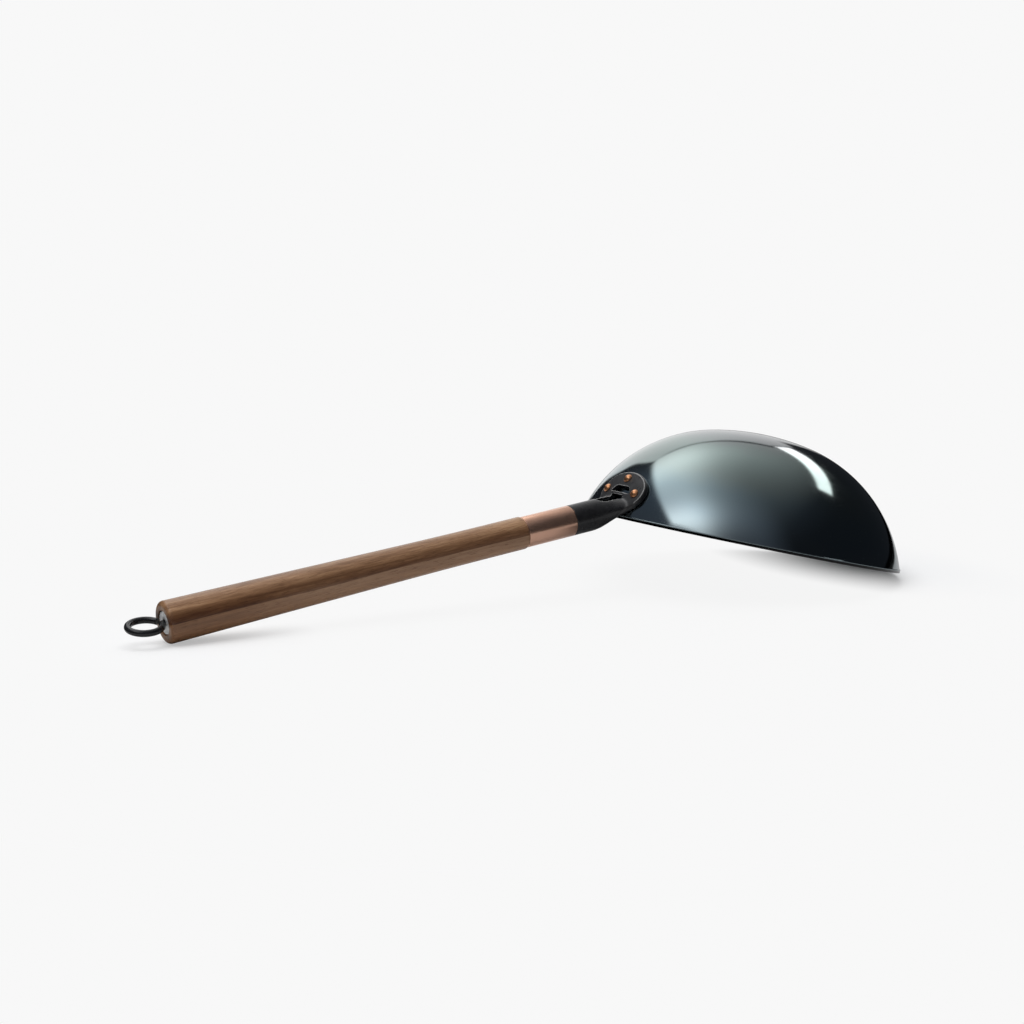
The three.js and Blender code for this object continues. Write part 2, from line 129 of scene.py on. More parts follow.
def seat(piece, place):
    """Put a piece, made about the origin, in its place on the wok and shade it smooth."""
    bpy.ops.object.select_all(action="DESELECT")
    piece.select_set(True)
    bpy.context.view_layer.objects.active = piece
    piece.matrix_world = place
    bpy.ops.object.transform_apply(location=True, rotation=True, scale=True)
    bpy.ops.object.shade_smooth_by_angle(angle=crease_angle)


class Finish:
    """A node material: one Principled shader and the nodes that feed it."""

    def __init__(self, name):
        self.material = bpy.data.materials.new(name)
        self.material.use_nodes = True
        self.nodes = self.material.node_tree.nodes
        self.links = self.material.node_tree.links
        self.shader = self.nodes["Principled BSDF"]

    def node(self, kind, **settings):
        made = self.nodes.new("ShaderNode" + kind)
        for key, value in settings.items():
            setattr(made, key, value)
        return made

    def feed(self, socket, value):
        """Link a node's output to a socket, or set the socket to a constant."""
        if isinstance(value, bpy.types.NodeSocket):
            self.links.new(value, socket)
        else:
            socket.default_value = value

    def give(self, socket, value):
        """Feed one of the shader's own sockets."""
        self.feed(self.shader.inputs[socket], value)

    def calc(self, operation, *values):
        made = self.node("Math", operation=operation)
        for socket, value in zip(made.inputs, values):
            self.feed(socket, value)
        return made.outputs[0]

    def plus(self, *parts):
        """All parts added."""
        total = parts[0]
        for part in parts[1:]:
            total = self.calc("ADD", total, part)
        return total

    def minus(self, first, second):
        return self.calc("SUBTRACT", first, second)

    def times(self, *parts):
        """All parts multiplied."""
        total = parts[0]
        for part in parts[1:]:
            total = self.calc("MULTIPLY", total, part)
        return total

    def long_side(self, first, second):
        """The long side of a right triangle."""
        return self.calc("SQRT", self.plus(self.times(first, first), self.times(second, second)))

    def at(self, place, scale=(1, 1, 1)):
        """Object coordinates in the frame of a place on the wok, stretched by scale."""
        coords = self.node("TexCoord").outputs["Object"]
        local = self.node("Mapping", vector_type="TEXTURE")
        self.feed(local.inputs["Vector"], coords)
        local.inputs["Location"].default_value = place.to_translation()
        local.inputs["Rotation"].default_value = place.to_euler()
        stretched = self.node("Mapping", vector_type="POINT")
        self.feed(stretched.inputs["Vector"], local.outputs[0])
        stretched.inputs["Scale"].default_value = scale
        return stretched.outputs[0]

    def split(self, vector):
        """The X, Y and Z of a vector."""
        made = self.node("SeparateXYZ")
        self.feed(made.inputs[0], vector)
        return made.outputs

    def noise(self, vector, scale, detail=3.0, roughness=0.55, distortion=0.0):
        made = self.node("TexNoise")
        self.feed(made.inputs["Vector"], vector)
        made.inputs["Scale"].default_value = scale
        made.inputs["Detail"].default_value = detail
        made.inputs["Roughness"].default_value = roughness
        made.inputs["Distortion"].default_value = distortion
        return made.outputs["Fac"]

    def ramp(self, value, *stops):
        made = self.node("ValToRGB")
        self.feed(made.inputs["Fac"], value)
        elements = made.color_ramp.elements
        while len(elements) < len(stops):
            elements.new(0.5)
        for element, (position, colour) in zip(elements, stops):
            element.position = position
            element.color = (*colour, 1)
        return made.outputs["Color"]

    def remap(self, value, span, result):
        """Over a span of the value, go smoothly from the first number of result to the second."""
        made = self.node("MapRange", interpolation_type="SMOOTHSTEP")
        for socket, number in zip(made.inputs, (value, *span, *result)):
            self.feed(socket, number)
        return made.outputs[0]

    def rise(self, value, low, high):
        """0 up to low, 1 from high on, and smooth between."""
        return self.remap(value, (low, high), (0.0, 1.0))

    def fall(self, value, low, high):
        """1 up to low, 0 from high on, and smooth between."""
        return self.remap(value, (low, high), (1.0, 0.0))

    def blend(self, kind, amount, first, second):
        made = self.node("Mix", data_type="RGBA", blend_type=kind)
        self.feed(made.inputs["Factor"], amount)
        colours = [socket for socket in made.inputs if socket.type == "RGBA"]
        self.feed(colours[0], first)
        self.feed(colours[1], second)
        return [socket for socket in made.outputs if socket.type == "RGBA"][0]

    def bump(self, height, strength, depth):
        made = self.node("Bump")
        self.feed(made.inputs["Height"], height)
        made.inputs["Strength"].default_value = strength
        made.inputs["Distance"].default_value = depth
        return made.outputs["Normal"]

    def wear(self, piece):
        """Give the piece this finish alone."""
        piece.data.materials.clear()
        piece.data.materials.append(self.material)


bowl = turn("bowl", (0, bowl_depth), [
    (bottom_centre, bottom_turn, bottom_steps),
    (side_centre, wall_end - bottom_turn, side_steps),
    bead_top,
    (bead_centre, bead_turn, bead_steps),
    (edge_radius, edge_round),
    ((edge_radius - edge_round, edge_round), pi / 2, edge_steps),
    (inner_rim, 0),
    (side_centre, bottom_turn - inner_slope, side_steps),
    (bottom_centre, -bottom_turn, bottom_steps),
], bowl_steps)
round_edges(bowl, edge_round, segments=2,
            test=lambda co: abs(co.z) < weld and co.xy.length < inner_rim + hair)
seat(bowl, wok_place)

blued_steel = Finish("blued_steel")
in_bowl = blued_steel.at(wok_place)
bowl_x, bowl_y, above_rim = blued_steel.split(in_bowl)
tint_per_metre = 8.5
tint_clouding = 0.22
clouds = blued_steel.noise(in_bowl, scale=22, detail=4)
heat_tint = blued_steel.ramp(
    blued_steel.plus(
        blued_steel.times(above_rim, tint_per_metre),
        blued_steel.times(clouds, tint_clouding),
    ),
    (0.15, (0.250, 0.302, 0.318)),
    (0.28, (0.228, 0.290, 0.316)),
    (0.45, (0.222, 0.290, 0.308)),
    (0.60, (0.250, 0.306, 0.296)),
    (0.80, (0.268, 0.338, 0.322)),
    (0.93, (0.300, 0.318, 0.330)),
)
# Up to 2.2 mm above the rim the outside is painted near black: a painted reflection of the shadowed floor
# under the bowl.
black_below = 0.0022
blue_above = 0.0025
dark_reflection_black = (0.012, 0.012, 0.013, 1)
painted_dark_band = blued_steel.fall(above_rim, black_below, blue_above)
blued_steel.give("Base Color", blued_steel.blend("MIX", painted_dark_band, heat_tint, dark_reflection_black))
blued_steel.give("Metallic", 1.0)
blued_steel.give("Coat Weight", 0.25)
blued_steel.give("Coat Roughness", 0.06)
ringed = blued_steel.node("CombineXYZ")
blued_steel.feed(ringed.inputs["X"], blued_steel.long_side(bowl_x, bowl_y))
blued_steel.feed(ringed.inputs["Z"], above_rim)
polish_lines = blued_steel.noise(ringed.outputs[0], scale=2600, detail=2)
smudges = blued_steel.noise(in_bowl, scale=60, detail=5, roughness=0.6)
line_roughness = 0.03
blued_steel.give("Roughness", blued_steel.plus(
    blued_steel.remap(smudges, (0.35, 0.75), (0.070, 0.105)),
    blued_steel.times(polish_lines, line_roughness),
))
blued_steel.give("Normal", blued_steel.bump(polish_lines, strength=0.04, depth=0.0001))
blued_steel.wear(bowl)
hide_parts("pan")
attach(bowl, "root")


# Handle bracket
# One black iron casting: an oval flange on the bowl, a window with a cross bar, and a hollow neck
# that closes into the socket. The sand mould leaves soft edges and a fine grain. The edges round the
# flange's face are painted lighter, partly wear and partly a painted highlight, and the face has a little
# painted light.
grain_size = 0.00044
flange_thickness = 0.0048
seat_gap = 0.0003
flange_face = flange_thickness + seat_gap
socket_end = 0.0461
trough_half = 0.0088
trough_end = 0.0164
window_middle = 0.0268
bar_foot = 0.0204
window_top = 0.0302
window_half = 0.0138
handle_height = 0.0059
handle_lean = radians(-110.9)
handle_root = Matrix.Translation((-rim_radius, 0, handle_height))
handle_place = wok_place @ handle_root @ Matrix.Rotation(handle_lean, 4, "Y")
skin_passes = 6
neck_passes = 40
root_passes = 120
window_passes = 30


def on_wall(up, across):
    """The place on the bowl's outside, up from the rim and sideways from the handle's side."""
    slope = rim_slope - up / side_arc
    radius = side_centre[0] + side_arc * sin(slope)
    height = side_centre[1] + side_arc * cos(slope)
    around = pi + across / radius
    away = Vector((cos(around), sin(around), 0))
    out = away * sin(slope) + Vector((0, 0, cos(slope)))
    upward = away * -cos(slope) + Vector((0, 0, sin(slope)))
    frame_of_spot = Matrix((upward.cross(out), upward, out)).transposed().to_4x4()
    return Matrix.Translation(away * radius + Vector((0, 0, height))) @ frame_of_spot


def fade(value, low, high):
    """0 up to low, 1 from high on, and smooth between."""
    share = min(max((value - low) / (high - low), 0), 1)
    return share * share * (3 - 2 * share)


def smooth(piece, times, share_at=None):
    """Smooth the piece, all over or as much as the share at each of its points says."""
    soften = piece.modifiers.new("soften", "SMOOTH")
    soften.factor = 0.5
    soften.iterations = times
    if share_at is not None:
        group = piece.vertex_groups.new(name="soften")
        for vertex in piece.data.vertices:
            group.add([vertex.index], share_at(vertex.co), "REPLACE")
        soften.vertex_group = group.name
    bpy.ops.object.modifier_apply(modifier=soften.name)
    piece.vertex_groups.clear()


past_flange = (0.005, 0.009)
short_of_ferrule = (0.001, 0.004)
beside_trough = (trough_half + 0.0008, trough_half + 0.004)
past_trough = (trough_end + 0.001, trough_end + 0.004)
under_trough = (-0.002, 0.002)


def on_neck(point):
    """1 on the neck, 0 towards the flange, the socket's end and the edge of the open trough."""
    spot = handle_place.inverted() @ point
    along = fade(spot.z, *past_flange) * fade(socket_end - spot.z, *short_of_ferrule)
    clear = max(
        fade(abs(spot.y), *beside_trough),
        fade(spot.z, *past_trough),
        fade(-spot.x, *under_trough),
    )
    return along * clear


root_spots = ((0.0154, 0.0150), (0.0142, 0.0185), (0.0120, 0.0215), (0.0090, 0.0235))
root_reach = (0.0030, 0.0075)
roots = [
    wok_place @ on_wall(up, side * across) @ Vector((0, 0, flange_face))
    for side in (-1, 1) for up, across in root_spots
]


def at_root(point):
    """1 where the neck's sides run into the flange, 0 a little way off."""
    return 1 - fade(min((point - root).length for root in roots), *root_reach)


window_place = wok_place @ on_wall(window_middle, 0)
beside_window = (window_half + 0.0007, window_half + 0.0027)
below_bar = (bar_foot - 0.0012, bar_foot - 0.0004)
above_window = (window_top + 0.002, window_top + 0.004)
off_bowl = (0.0005, 0.0015)


def at_window(point):
    """1 round the window and on the cross bar, 0 towards the rivets and the neck."""
    spot = window_place.inverted() @ point
    height = spot.y + window_middle
    sideways = 1 - fade(abs(spot.x), *beside_window)
    upright = fade(height, *below_bar) * (1 - fade(height, *above_window))
    return sideways * upright * fade(spot.z, *off_bowl)


casting = bpy.data.objects.new("bracket_casting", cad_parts["handle_bracket"].data.copy())
bpy.context.scene.collection.objects.link(casting)
bpy.ops.object.select_all(action="DESELECT")
casting.select_set(True)
bpy.context.view_layer.objects.active = casting
bpy.ops.object.mode_set(mode="EDIT")
bpy.ops.mesh.select_all(action="SELECT")
bpy.ops.mesh.remove_doubles(threshold=weld)
bpy.ops.object.mode_set(mode="OBJECT")
skin = casting.modifiers.new("skin", "REMESH")
skin.mode = "VOXEL"
skin.voxel_size = grain_size
bpy.ops.object.modifier_apply(modifier=skin.name)
smooth(casting, skin_passes)
smooth(casting, neck_passes, on_neck)
smooth(casting, root_passes, at_root)
smooth(casting, window_passes, at_window)
bpy.ops.object.shade_smooth()

black_iron = Finish("black_iron")
in_casting = black_iron.at(wok_place)
sand_grain = black_iron.noise(in_casting, scale=1500, detail=3, roughness=0.6)
mottle = black_iron.noise(in_casting, scale=180, detail=3)
cast_skin = black_iron.ramp(
    mottle,
    (0.3, (0.009, 0.009, 0.010)),
    (0.7, (0.018, 0.018, 0.019)),
)
casting_x, casting_y, casting_up = black_iron.split(in_casting)
from_arc_centre = black_iron.long_side(
    black_iron.minus(black_iron.long_side(casting_x, casting_y), side_centre[0]),
    black_iron.minus(casting_up, side_centre[1]),
)
off_wall = black_iron.minus(from_arc_centre, side_arc)
up_to_face = (flange_face - 0.0010, flange_face - 0.0004)
past_face = (flange_face + 0.0004, flange_face + 0.0016)
end_of_edge_light = (trough_end - 0.001, trough_end + 0.001)
sharp_edge = (0.508, 0.526)
face_light_share = 0.06
wear_and_highlight_grey = (0.38, 0.38, 0.37, 1)
rubbed_smooth = 0.08
noise_span = (0.3, 0.7)
# Sharp edges by the flange are painted lighter, partly wear and partly a painted highlight; the flange's face
# gets a little painted light.
edge_wear_and_highlight = black_iron.times(
    black_iron.rise(black_iron.node("NewGeometry").outputs["Pointiness"], *sharp_edge),
    black_iron.fall(black_iron.split(black_iron.at(handle_place))["Z"], *end_of_edge_light),
    black_iron.rise(off_wall, *up_to_face),
)
painted_face_light = black_iron.times(
    black_iron.remap(off_wall, up_to_face, (0.0, face_light_share)),
    black_iron.fall(off_wall, *past_face),
)
wear_and_painted_light = black_iron.calc("MAXIMUM", edge_wear_and_highlight, painted_face_light)
black_iron.give("Base Color", black_iron.blend("MIX", wear_and_painted_light, cast_skin, wear_and_highlight_grey))
black_iron.give("Roughness", black_iron.minus(
    black_iron.remap(mottle, noise_span, (0.27, 0.33)),
    black_iron.times(edge_wear_and_highlight, rubbed_smooth),
))
black_iron.give("Normal", black_iron.bump(sand_grain, strength=0.10, depth=0.0002))
black_iron.wear(casting)
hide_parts("handle_bracket")
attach(casting, "root")


# Rivets
# Three solid copper rivets through flange and wall: a round head outside, a low one closed inside.
# One is modelled on end and copied to its three places on the wall.
shank_radius = 0.0024
head_radius = 0.0042
head_height = 0.0028
head_edge = 0.0005
head_ease = 0.0002
tail_radius = 0.0046
tail_height = 0.0014
tail_steps = 8
head_steps = 12
rivet_steps = 48
rivet_spots = {"rivet_top": (0.0377, 0.0), "rivet_left": (0.0242, -0.0210), "rivet_right": (0.0242, 0.0210)}
head_seat = flange_thickness + 2 * seat_gap
tail_seat = -bowl_wall - seat_gap - tail_radius ** 2 / (2 * (side_arc - bowl_wall))
head_arc = (head_radius ** 2 + (head_height - head_edge) ** 2) / (2 * (head_height - head_edge))
tail_arc = (tail_radius ** 2 + tail_height ** 2) / (2 * tail_height)
rivet = turn("rivet", (0, tail_seat - tail_height), [
    ((0, tail_seat - tail_height + tail_arc), -asin(tail_radius / tail_arc), tail_steps),
    (shank_radius, tail_seat),
    (shank_radius, head_seat),
    (head_radius, head_seat),
    (head_radius, head_seat + head_edge),
    ((0, head_seat + head_height - head_arc), -asin(head_radius / head_arc), head_steps),
], rivet_steps)
round_edges(rivet, head_ease, segments=2,
            test=lambda co: co.xy.length > head_radius - weld and co.z > 0)

bright_copper = Finish("bright_copper")
in_rivets = bright_copper.at(wok_place)
dents = bright_copper.noise(in_rivets, scale=700, detail=2)
tarnish = bright_copper.noise(in_rivets, scale=420, detail=4, roughness=0.6)
bright_copper.give("Base Color", bright_copper.ramp(
    tarnish,
    (0.35, (0.70, 0.315, 0.145)),
    (0.70, (0.86, 0.450, 0.240)),
))
bright_copper.give("Metallic", 0.95)
bright_copper.give("Roughness", bright_copper.remap(tarnish, noise_span, (0.38, 0.32)))
bright_copper.give("Normal", bright_copper.bump(dents, strength=0.04, depth=0.0003))
for node, (up, across) in rivet_spots.items():
    copy = bpy.data.objects.new(node + "_copper", rivet.data.copy())
    bpy.context.scene.collection.objects.link(copy)
    seat(copy, wok_place @ on_wall(up, across))
    bright_copper.wear(copy)
    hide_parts(node)
    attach(copy, "root")
bpy.data.objects.remove(rivet)


# Ferrule
# A cut length of copper tube, slipped over the bracket's spigot and the grip's tenon.
# It is brushed in the lathe, so the marks run round it, and its ends are eased.
socket_radius = 0.0140
tube_wall = 0.0012
tube_ease = 0.0004
ferrule_length = 0.0514
ferrule_steps = 96
ferrule_end = socket_end + ferrule_length
tube_bore = socket_radius - tube_wall
ferrule = turn("ferrule_sleeve", (tube_bore, socket_end + seat_gap), [
    (socket_radius, socket_end + seat_gap),
    (socket_radius, ferrule_end - seat_gap),
    (tube_bore, ferrule_end - seat_gap),
    (tube_bore, socket_end + seat_gap),
], ferrule_steps)
round_edges(ferrule, tube_ease, segments=3, test=lambda co: co.xy.length > socket_radius - weld)
seat(ferrule, handle_place)

brushed_copper = Finish("brushed_copper")
round_the_tube = (1, 1, 40)
mark_roughness = 0.06
brush_marks = brushed_copper.noise(
    brushed_copper.at(handle_place, round_the_tube), scale=160, detail=4, roughness=0.65)
handled = brushed_copper.noise(brushed_copper.at(handle_place), scale=90, detail=4, roughness=0.6)
brushed_copper.give("Base Color", brushed_copper.ramp(
    handled,
    (0.30, (0.76, 0.445, 0.315)),
    (0.72, (0.84, 0.510, 0.370)),
))
brushed_copper.give("Metallic", 0.90)
brushed_copper.give("Roughness", brushed_copper.plus(
    brushed_copper.remap(handled, noise_span, (0.18, 0.22)),
    brushed_copper.times(brush_marks, mark_roughness),
))
brushed_copper.give("Normal", brushed_copper.bump(brush_marks, strength=0.05, depth=0.0001))
brushed_copper.wear(ferrule)
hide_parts("ferrule")
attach(ferrule, "root")


# Grip
# Walnut, turned between centres: straight behind the ferrule, then a slow cone to the butt.
# A counterbore in the butt takes the washer. The wood is sanded and oiled to a satin finish. A dark band
# runs along it, partly a heartwood streak and partly painted shade. Below the band the wood is painted
# plainer, partly plain wood and partly a painted reflection of the floor, and towards the butt it is painted
# darker as painted shade.
grip_length = 0.3479
grip_neck = 0.01475
grip_butt = 0.0183
neck_length = 0.081
neck_round = 0.0012
neck_steps = 6
butt_round = 0.0038
butt_steps = 10
spigot_length = 0.014
rod_radius = 0.0029
rod_hole = rod_radius + seat_gap
tenon_start = socket_end + spigot_length + seat_gap
tenon_radius = tube_bore - seat_gap
butt_end = ferrule_end + grip_length
washer_radius = 0.0098
washer_thickness = 0.0016
washer_sink = 0.0009
washer_face = butt_end - washer_sink
counter_gap = 0.001
counter_ease = 0.0003
counter_radius = washer_radius + counter_gap
counter_floor = washer_face - washer_thickness - seat_gap
cone_start = ferrule_end + neck_length
cone_slope = (grip_butt - grip_neck) / (butt_end - cone_start)
ease = neck_length / 2
ease_steps = 10
grip_steps = 128


def eased(t):
    """A point on the curve that leads from the straight neck into the cone."""
    return (grip_neck + cone_slope * ease * t * t, cone_start - ease + 2 * ease * t)


def at_counterbore(co):
    """Whether a point is on the upper edge of the counterbore."""
    return abs(co.z - butt_end) < weld and abs(co.xy.length - counter_radius) < weld


grip = turn("walnut_grip", (rod_hole, tenon_start), [
    (tenon_radius, tenon_start),
    (tenon_radius, ferrule_end),
    (grip_neck - neck_round, ferrule_end),
    ((grip_neck - neck_round, ferrule_end + neck_round), -pi / 2, neck_steps),
    *[eased(i / ease_steps) for i in range(ease_steps + 1)],
    (grip_butt, butt_end - butt_round),
    ((grip_butt - butt_round, butt_end - butt_round), -pi / 2, butt_steps),
    (counter_radius, butt_end),
    (counter_radius, counter_floor),
    (rod_hole, counter_floor),
    (rod_hole, tenon_start),
], grip_steps)
round_edges(grip, counter_ease, segments=2, test=at_counterbore)
seat(grip, handle_place)

walnut = Finish("oiled_walnut")
grain_stretch = (1, 1, 0.055)
along_grain = walnut.at(handle_place, grain_stretch)
figure = walnut.noise(along_grain, scale=95, detail=3, roughness=0.5, distortion=0.6)
streaks = walnut.noise(along_grain, scale=360, detail=4, roughness=0.65, distortion=0.4)
fibres = walnut.noise(along_grain, scale=1300, detail=3, roughness=0.6)
pores = walnut.noise(along_grain, scale=1900, detail=2, roughness=0.5)
figure_share = 0.55
streak_share = 0.45
tone = walnut.plus(walnut.times(figure, figure_share), walnut.times(streaks, streak_share))
timber = walnut.ramp(
    tone,
    (0.36, (0.225, 0.113, 0.052)),
    (0.46, (0.330, 0.178, 0.088)),
    (0.55, (0.420, 0.240, 0.125)),
    (0.66, (0.510, 0.310, 0.168)),
)
between_fibres = (0.66, 0.60, 0.54, 1)
plain_and_reflection_wood = (0.335, 0.188, 0.104, 1)
plain_and_reflection_share = 0.55
heartwood_and_shade_dark = (0.44, 0.37, 0.34, 1)
butt_shade_dark = (0.76, 0.66, 0.56, 1)
pore_dark = (0.38, 0.33, 0.30, 1)
band_wander = 0.005
band_foot = (0.0003, 0.0011)
band_top = (0.0035, 0.0130)
near_butt = (butt_end - 0.145, butt_end - 0.025)
pore_share = 0.65
pore_roughness = 0.2
fibre_height = 0.5
wood_span = (0.35, 0.65)
in_grip = walnut.split(walnut.at(handle_place))
# A dark band along the grip: partly a heartwood streak, partly painted shade.
above_band = walnut.plus(in_grip["X"], walnut.times(walnut.minus(figure, 0.5), band_wander))
heartwood_and_shade_band = walnut.times(walnut.fall(above_band, *band_top), walnut.rise(above_band, *band_foot))
# Below the band the wood is painted plainer: partly plain wood, partly a painted reflection of the floor.
plain_and_reflection_side = walnut.remap(above_band, band_foot, (plain_and_reflection_share, 0.0))
# Towards the butt, most of all low down, the wood is painted darker: painted shade near the floor.
shade_toward_butt = walnut.times(
    walnut.rise(in_grip["Z"], *near_butt),
    walnut.remap(above_band, (0.004, 0.012), (1.0, 0.3)),
)
pore_mask = walnut.rise(pores, 0.60, 0.68)
fibre_gap = walnut.remap(fibres, wood_span, (0.75, 0.0))
timber = walnut.blend("MULTIPLY", fibre_gap, timber, between_fibres)
timber = walnut.blend("MIX", plain_and_reflection_side, timber, plain_and_reflection_wood)
timber = walnut.blend("MULTIPLY", heartwood_and_shade_band, timber, heartwood_and_shade_dark)
timber = walnut.blend("MULTIPLY", shade_toward_butt, timber, butt_shade_dark)
timber = walnut.blend("MULTIPLY", walnut.times(pore_mask, pore_share), timber, pore_dark)
walnut.give("Base Color", timber)
walnut.give("Roughness", walnut.plus(
    walnut.remap(tone, wood_span, (0.50, 0.42)),
    walnut.times(pore_mask, pore_roughness),
))
pore_height = walnut.minus(walnut.times(fibres, fibre_height), pore_mask)
walnut.give("Normal", walnut.bump(pore_height, strength=0.22, depth=0.0002))
walnut.give("Specular IOR Level", 0.3)
walnut.give("Coat Weight", 0.45)
walnut.give("Coat Roughness", 0.16)
walnut.wear(grip)
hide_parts("handle_grip")
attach(grip, "root")


# Butt washer
# A plain punched washer, zinc plated, in the counterbore. It spreads the eye bolt's pull.
# Punching rounds its upper edges a little, and the face is lightly brushed.
washer_ease = 0.0003
washer_steps = 72
washer = turn("zinc_washer", (rod_hole, washer_face - washer_thickness), [
    (washer_radius, washer_face - washer_thickness),
    (washer_radius, washer_face),
    (rod_hole, washer_face),
    (rod_hole, washer_face - washer_thickness),
], washer_steps)
round_edges(washer, washer_ease, segments=3, test=lambda co: abs(co.z - washer_face) < weld)
seat(washer, handle_place)

zinc = Finish("zinc_plate")
brush_stretch = (1, 0.05, 1)
across_face = zinc.noise(zinc.at(handle_place, brush_stretch), scale=1600, detail=3)
spangle = zinc.noise(zinc.at(handle_place), scale=260, detail=3)
zinc.give("Base Color", zinc.ramp(
    spangle,
    (0.3, (0.93, 0.93, 0.91)),
    (0.7, (0.98, 0.98, 0.96)),
))
zinc.give("Metallic", 0.1)
zinc.give("Roughness", zinc.remap(spangle, noise_span, (0.42, 0.30)))
zinc.give("Normal", zinc.bump(across_face, strength=0.25, depth=0.0002))
zinc.wear(washer)
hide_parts("butt_washer")
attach(washer, "root")


# Eye bolt
# One steel rod: screwed into the bracket, straight through the grip, bent aside at the washer
# and round into a nearly closed eye to hang the wok by. It is blacked and lightly oiled.
thread_length = 0.017
eye_radius = 0.0141
bend_radius = 0.005
eye_mouth = radians(22)
eye_roll = radians(10.6)
eye_lift = radians(3)
rod_sides = 32
bend_steps = 10
eye_steps = 72
eye_centre = washer_face + seat_gap + rod_radius + eye_radius
bend_start = eye_centre - sqrt(eye_radius ** 2 + 2 * eye_radius * bend_radius)
bend_turn = atan2(eye_centre - bend_start, bend_radius)
eye_turn = bend_turn + 1.5 * pi - eye_mouth
shank_end = socket_end - thread_length
bpy.ops.object.select_all(action="DESELECT")
bpy.ops.mesh.primitive_circle_add(vertices=rod_sides, radius=rod_radius, fill_type="NGON", location=(0, 0, 0))
eye = bpy.context.object
eye.name = eye.data.name = "hanging_eye"
bpy.ops.object.mode_set(mode="EDIT")
bpy.ops.mesh.select_all(action="SELECT")
bpy.ops.transform.translate(value=(0, 0, shank_end))
bpy.ops.mesh.extrude_region_move(TRANSFORM_OT_translate={"value": (0, 0, bend_start - shank_end)})
bpy.ops.mesh.spin(steps=bend_steps, angle=bend_turn, center=(0, -bend_radius, bend_start), axis=(-1, 0, 0))
bpy.ops.mesh.spin(steps=eye_steps, angle=-eye_turn, center=(0, 0, eye_centre), axis=(-1, 0, 0))
bpy.ops.mesh.select_all(action="SELECT")
bpy.ops.mesh.remove_doubles(threshold=weld)
bpy.ops.mesh.normals_make_consistent(inside=False)
bpy.ops.mesh.select_all(action="DESELECT")
bpy.ops.object.mode_set(mode="OBJECT")
for vertex in eye.data.vertices:
    vertex.select = vertex.co.z > bend_start + hair
bpy.ops.object.mode_set(mode="EDIT")
bpy.ops.transform.rotate(value=-eye_lift, orient_axis="Y", center_override=(0, 0, bend_start))
bpy.ops.object.mode_set(mode="OBJECT")
seat(eye, handle_place @ Matrix.Rotation(-eye_roll, 4, "Z"))

black_steel = Finish("blacked_steel")
drawn = black_steel.noise(black_steel.at(handle_place), scale=900, detail=3)
black_steel.give("Base Color", black_steel.ramp(
    drawn,
    (0.3, (0.006, 0.006, 0.007)),
    (0.7, (0.013, 0.013, 0.014)),
))
black_steel.give("Roughness", black_steel.remap(drawn, noise_span, (0.24, 0.28)))
black_steel.give("Normal", black_steel.bump(drawn, strength=0.02, depth=0.0002))
black_steel.wear(eye)
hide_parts("eye_bolt")
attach(eye, "root")


# Floor
# A pale floor that runs out into an even white and keeps the shadow near the wok. Mirrors see it as a
# sheet of limited size whose far end glows as painted light, and matt surfaces get an even bounce from it.
floor_size = 40
even_white = (0.938, 0.938, 0.938, 1)
shadow_paper = (0.94, 0.94, 0.94, 1)
bounce_paper = (0.78, 0.78, 0.78, 1)
glow_paper = (0.88, 0.88, 0.88, 1)
butt_shadow = 0.54
faint_shadow = 0.05
sheet_tone = 0.50
dark_tone = 0.03
view_east = 0.855
view_north = 0.519
bpy.ops.object.select_all(action="DESELECT")
bpy.ops.mesh.primitive_plane_add(size=floor_size)
floor = bpy.context.object
floor.name = "pale_floor"
paper = Finish("pale_paper")
on_floor = paper.split(paper.node("TexCoord").outputs["Object"])
rays = paper.node("LightPath").outputs


def near(x, y, squeeze, reach):
    """1 at a spot on the floor, falling to 0 at the given reach, which squeeze widens along Y."""
    off_x = paper.minus(on_floor["X"], x)
    off_y = paper.times(paper.minus(on_floor["Y"], y), squeeze)
    return paper.fall(paper.long_side(off_x, off_y), 0.0, reach)


def floor_along(x_part, y_part):
    """How far a point of the floor lies along a direction."""
    return paper.plus(paper.times(on_floor["X"], x_part), paper.times(on_floor["Y"], y_part))


def matt(colour):
    made = paper.node("BsdfDiffuse")
    paper.feed(made.inputs["Color"], colour)
    return made.outputs[0]


def shining(colour, strength):
    made = paper.node("Emission")
    paper.feed(made.inputs["Color"], colour)
    paper.feed(made.inputs["Strength"], strength)
    return made.outputs[0]


def either(finish, amount, first, second):
    """The first shader where the amount is 0, the second where it is 1."""
    made = finish.node("MixShader")
    for socket, value in zip(made.inputs, (amount, first, second)):
        finish.feed(socket, value)
    return made.outputs[0]


under_rim = near(x=0.385, y=0, squeeze=0.5, reach=0.125)
under_butt = paper.times(near(x=-0.330, y=0, squeeze=0.8, reach=0.14), butt_shadow)
all_round = paper.times(near(x=0.0, y=0.0, squeeze=1.0, reach=0.8), faint_shadow)
shade = paper.calc("MAXIMUM", paper.calc("MAXIMUM", under_rim, under_butt), all_round)
sideways = floor_along(view_east, -view_north)
behind = floor_along(view_north, view_east)
on_sheet = paper.times(paper.rise(sideways, -0.42, -0.38), paper.fall(sideways, 0.50, 0.54))
near_sheet = matt(paper.plus(paper.times(on_sheet, sheet_tone - dark_tone), dark_tone))
# The far end of the sheet glows: painted light that only mirrors see.
glowing_far_sheet = shining(glow_paper, paper.times(on_sheet, paper.remap(sideways, (0.20, 0.48), (0.86, 0.52))))
mirrored = either(paper, paper.rise(behind, 0.05, 0.60), near_sheet, glowing_far_sheet)
bounced = either(paper, rays["Is Glossy Ray"], matt(bounce_paper), mirrored)
seen = either(paper, shade, shining(even_white, 1.0), matt(shadow_paper))
paper.feed(
    paper.nodes["Material Output"].inputs["Surface"],
    either(paper, rays["Is Camera Ray"], bounced, seen),
)
paper.wear(floor)


